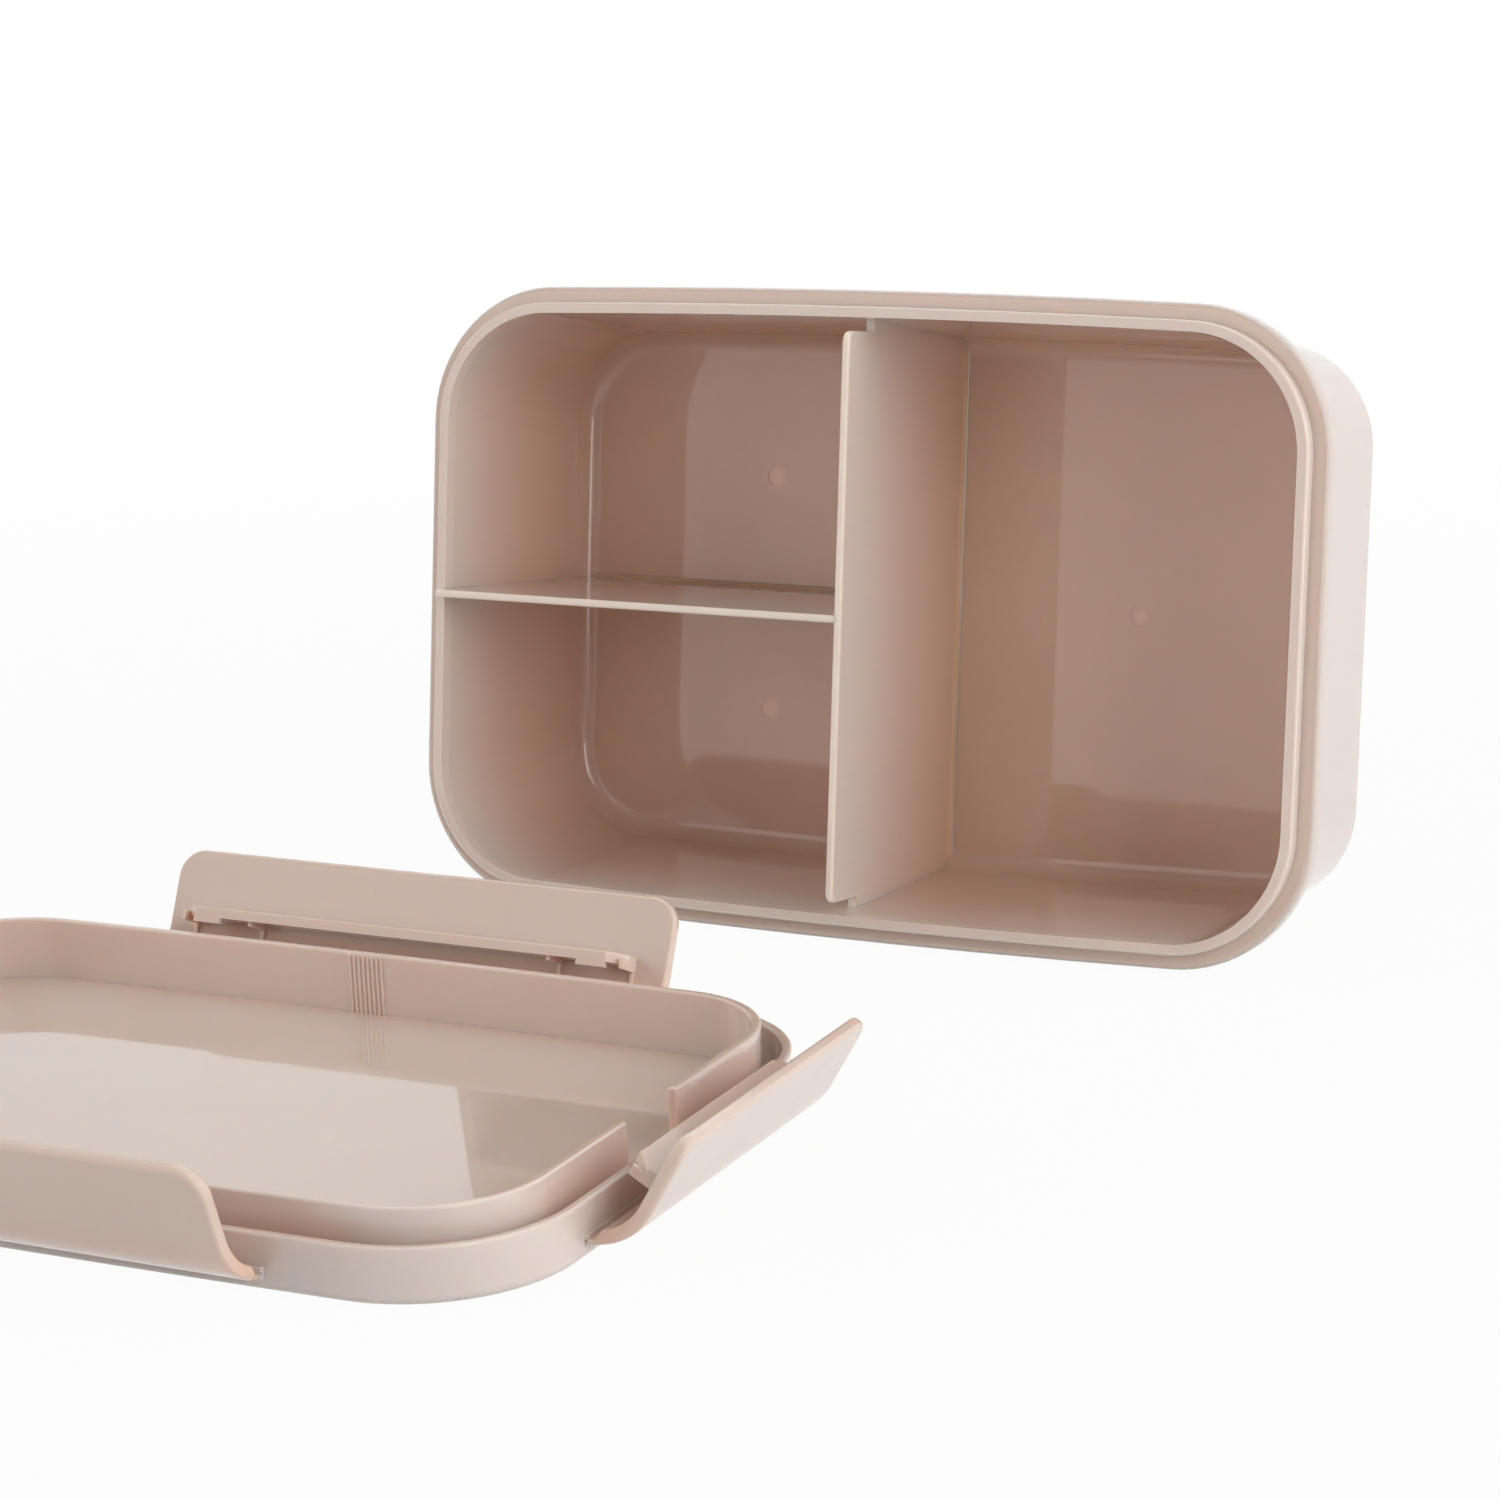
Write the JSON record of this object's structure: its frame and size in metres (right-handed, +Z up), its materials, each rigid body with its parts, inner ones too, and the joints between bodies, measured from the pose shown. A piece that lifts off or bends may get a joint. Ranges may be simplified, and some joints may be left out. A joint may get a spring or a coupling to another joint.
{
  "type": "lunch box",
  "caption": "Rectangular plastic lunch box with fixed dividers, standing open on its long side, and its loose lid lying upside down with snap flaps on living hinges.",
  "frame": {"origin": "centre of the lid's outer face, on the table the lid lies on upside down", "axes": "+Z up; X along the lid's and the box's long sides; +Y from the lid towards the box standing behind it"},
  "size_m": [0.2469, 0.2575, 0.116],
  "materials": {
    "box": "glossy moulded polypropylene, blush beige",
    "divider": "glossy moulded polypropylene, blush beige",
    "lid": "glossy moulded polypropylene, blush beige",
    "flap": "glossy moulded polypropylene, blush beige",
    "hinge_film": "thin flexed polypropylene, blush beige"
  },
  "bodies": {
    "box": {"box": "box", "main_divider": "divider", "cross_divider": "divider"},
    "lid": {"lid": "lid", "hinge_film_back": "hinge_film", "hinge_film_front": "hinge_film", "hinge_film_right": "hinge_film", "hinge_film_left": "hinge_film"},
    "flap_back": {"flap_back": "flap"},
    "flap_front": {"flap_front": "flap"},
    "flap_right": {"flap_right": "flap"},
    "flap_left": {"flap_left": "flap"}
  },
  "joints": [
    {"name": "lid_lift", "type": "slide", "parent": "box", "child": "lid", "axis": [0, 0, 1], "range_m": [0, 0.12]},
    {"name": "flap_back_hinge", "type": "hinge", "parent": "lid", "child": "flap_back", "pos_m": [0, 0.0589, 0.003], "axis": [-1, 0, 0], "range_deg": [-25, 40], "stiffness_Nm_per_rad": 0.02, "deforming": ["hinge_film_back"]},
    {"name": "flap_front_hinge", "type": "hinge", "parent": "lid", "child": "flap_front", "pos_m": [0, -0.0589, 0.003], "axis": [1, 0, 0], "range_deg": [-18.5, 46.5], "stiffness_Nm_per_rad": 0.02, "deforming": ["hinge_film_front"]},
    {"name": "flap_right_hinge", "type": "hinge", "parent": "lid", "child": "flap_right", "pos_m": [0.0884, 0, 0.003], "axis": [0, 1, 0], "range_deg": [-31, 34], "stiffness_Nm_per_rad": 0.02, "deforming": ["hinge_film_right"]},
    {"name": "flap_left_hinge", "type": "hinge", "parent": "lid", "child": "flap_left", "pos_m": [-0.0884, 0, 0.003], "axis": [0, -1, 0], "range_deg": [-25, 40], "stiffness_Nm_per_rad": 0.02, "deforming": ["hinge_film_left"]}
  ]
}
